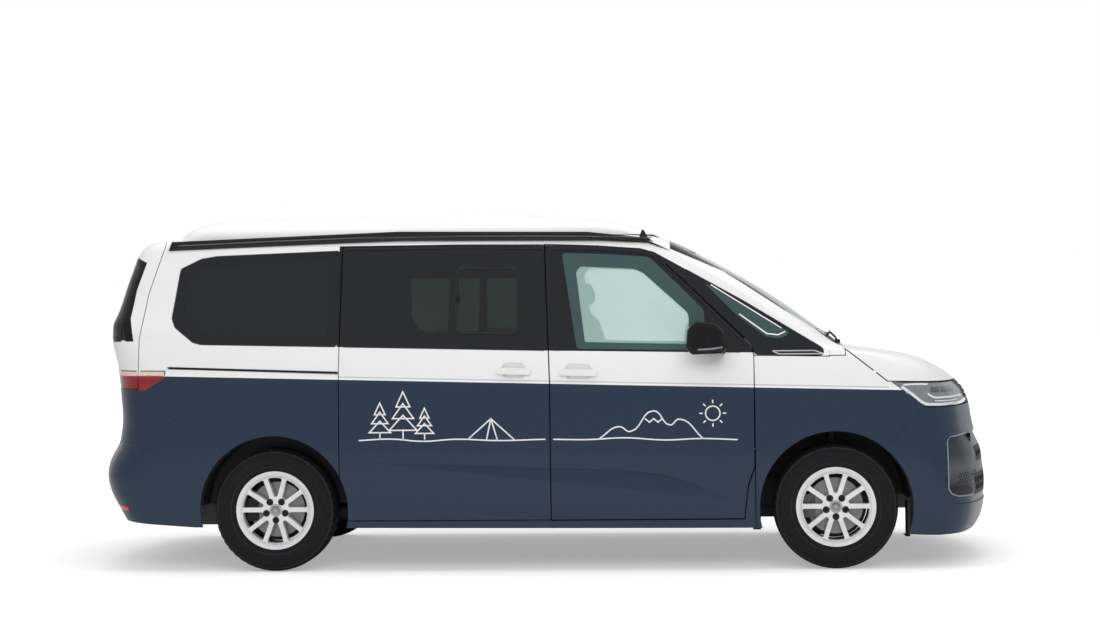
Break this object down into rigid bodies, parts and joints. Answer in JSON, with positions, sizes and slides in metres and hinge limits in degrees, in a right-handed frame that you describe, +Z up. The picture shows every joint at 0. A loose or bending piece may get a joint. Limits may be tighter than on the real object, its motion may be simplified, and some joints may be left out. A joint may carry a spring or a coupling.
{
  "type": "camper van",
  "caption": "Camper van with a lifting roof tent, two-tone body, flush dark side glass, sliding side doors and alloy wheels.",
  "frame": {"origin": "on the ground under the middle of the body's length and width", "axes": "+X to the front of the van, +Y to its left side, +Z up"},
  "size_m": [5.1657, 2.252, 1.9926],
  "materials": {
    "body_white": "gloss white paint",
    "body_blue": "gloss dark slate blue paint",
    "black_trim": "matt black plastic",
    "black_gloss": "gloss black plastic",
    "clear_glass": "clear tinted glass",
    "dark_glass": "dark privacy glass",
    "lamp_glass": "smoked lamp lens",
    "red_lamp": "red lamp lens",
    "cloth": "grey tent cloth",
    "under_metal": "dark underbody coat",
    "seat_cloth": "dark grey seat cloth",
    "cabinet_grey": "light grey laminate",
    "cast_metal": "cast iron",
    "exhaust_steel": "dull steel",
    "chassis_black": "black chassis paint",
    "tyre_rubber": "black rubber",
    "alloy": "silver painted alloy"
  },
  "bodies": {
    "vehicle_body": {"body_side_right": "body_white", "body_side_left": "body_white", "fender_right": "body_blue", "fender_left": "body_blue", "roof_frame": "body_white", "cowl_panel": "black_trim", "windscreen": "clear_glass", "front_bumper": "body_blue", "grille": "black_trim", "headlamps": "lamp_glass", "sliding_door_right": "body_blue", "sliding_door_left": "body_blue", "sliding_door_glasses": "dark_glass", "side_glasses": "dark_glass", "tail_lamps": "red_lamp", "rear_bumper": "body_blue", "tent_bellows": "cloth", "roof_rails": "black_trim", "floor_pan": "under_metal", "wheel_arch_liners": "black_trim", "firewall": "under_metal", "dashboard": "black_trim", "front_seats": "seat_cloth", "rear_bench": "seat_cloth", "kitchen_cabinet": "cabinet_grey", "engine_block": "cast_metal", "exhaust": "exhaust_steel", "front_suspension": "chassis_black", "rear_axle": "chassis_black"},
    "bonnet_lid": {"bonnet": "body_white"},
    "tailgate_door": {"tailgate": "body_white", "tailgate_glass": "dark_glass", "tailgate_lamps": "red_lamp"},
    "pop_top": {"pop_top_shell": "body_white"},
    "front_door_right": {"door_right": "body_blue", "door_glass_right": "clear_glass", "mirror_right": "black_gloss"},
    "front_door_left": {"door_left": "body_blue", "door_glass_left": "clear_glass", "mirror_left": "black_gloss"},
    "steering_knuckle_right": {"knuckle_right": "cast_metal"},
    "steering_knuckle_left": {"knuckle_left": "cast_metal"},
    "steering_column_wheel": {"steering_wheel": "black_trim"},
    "wheel_front_right": {"tyre_front_right": "tyre_rubber", "rim_front_right": "alloy"},
    "wheel_front_left": {"tyre_front_left": "tyre_rubber", "rim_front_left": "alloy"},
    "wheel_rear_right": {"tyre_rear_right": "tyre_rubber", "rim_rear_right": "alloy"},
    "wheel_rear_left": {"tyre_rear_left": "tyre_rubber", "rim_rear_left": "alloy"}
  },
  "joints": [
    {"name": "steer_left", "type": "hinge", "parent": "vehicle_body", "child": "steering_knuckle_left", "pos_m": [1.6565, 0.735, 0.343], "axis": [0, 0, 1], "range_deg": [-33, 33]},
    {"name": "steer_right", "type": "hinge", "parent": "vehicle_body", "child": "steering_knuckle_right", "pos_m": [1.6565, -0.735, 0.343], "axis": [0, 0, 1], "range_deg": [-33, 33]},
    {"name": "steering_wheel_turn", "type": "hinge", "parent": "vehicle_body", "child": "steering_column_wheel", "pos_m": [0.985, 0.44, 1.075], "axis": [-0.8829, 0, 0.4695], "range_deg": [-470, 470]},
    {"name": "spin_front_left", "type": "hinge", "parent": "steering_knuckle_left", "child": "wheel_front_left", "pos_m": [1.6565, 0.815, 0.343], "axis": [0, 1, 0], "continuous": true},
    {"name": "spin_front_right", "type": "hinge", "parent": "steering_knuckle_right", "child": "wheel_front_right", "pos_m": [1.6565, -0.815, 0.343], "axis": [0, 1, 0], "continuous": true},
    {"name": "spin_rear_left", "type": "hinge", "parent": "vehicle_body", "child": "wheel_rear_left", "pos_m": [-1.4675, 0.815, 0.343], "axis": [0, 1, 0], "continuous": true},
    {"name": "spin_rear_right", "type": "hinge", "parent": "vehicle_body", "child": "wheel_rear_right", "pos_m": [-1.4675, -0.815, 0.343], "axis": [0, 1, 0], "continuous": true},
    {"name": "door_right_hinge", "type": "hinge", "parent": "vehicle_body", "child": "front_door_right", "pos_m": [1.2165, -0.976, 0.75], "axis": [0, 0, 1], "range_deg": [0, 65]},
    {"name": "door_left_hinge", "type": "hinge", "parent": "vehicle_body", "child": "front_door_left", "pos_m": [1.2165, 0.976, 0.75], "axis": [0, 0, -1], "range_deg": [0, 65]},
    {"name": "bonnet_hinge", "type": "hinge", "parent": "vehicle_body", "child": "bonnet_lid", "pos_m": [1.7195, 0, 1.262], "axis": [0, -1, 0], "range_deg": [0, 50]},
    {"name": "tailgate_hinge", "type": "hinge", "parent": "vehicle_body", "child": "tailgate_door", "pos_m": [-2.1085, 0, 1.872], "axis": [0, 1, 0], "range_deg": [0, 88]},
    {"name": "pop_top_hinge", "type": "hinge", "parent": "vehicle_body", "child": "pop_top", "pos_m": [-2.094, 0, 1.8705], "axis": [0, -1, 0], "range_deg": [0, 22], "deforming": ["tent_bellows"]}
  ],
  "couplings": [
    {"joint": "steer_right", "follows": "steer_left", "ratio": 1},
    {"joint": "steering_wheel_turn", "follows": "steer_left", "ratio": 14}
  ]
}
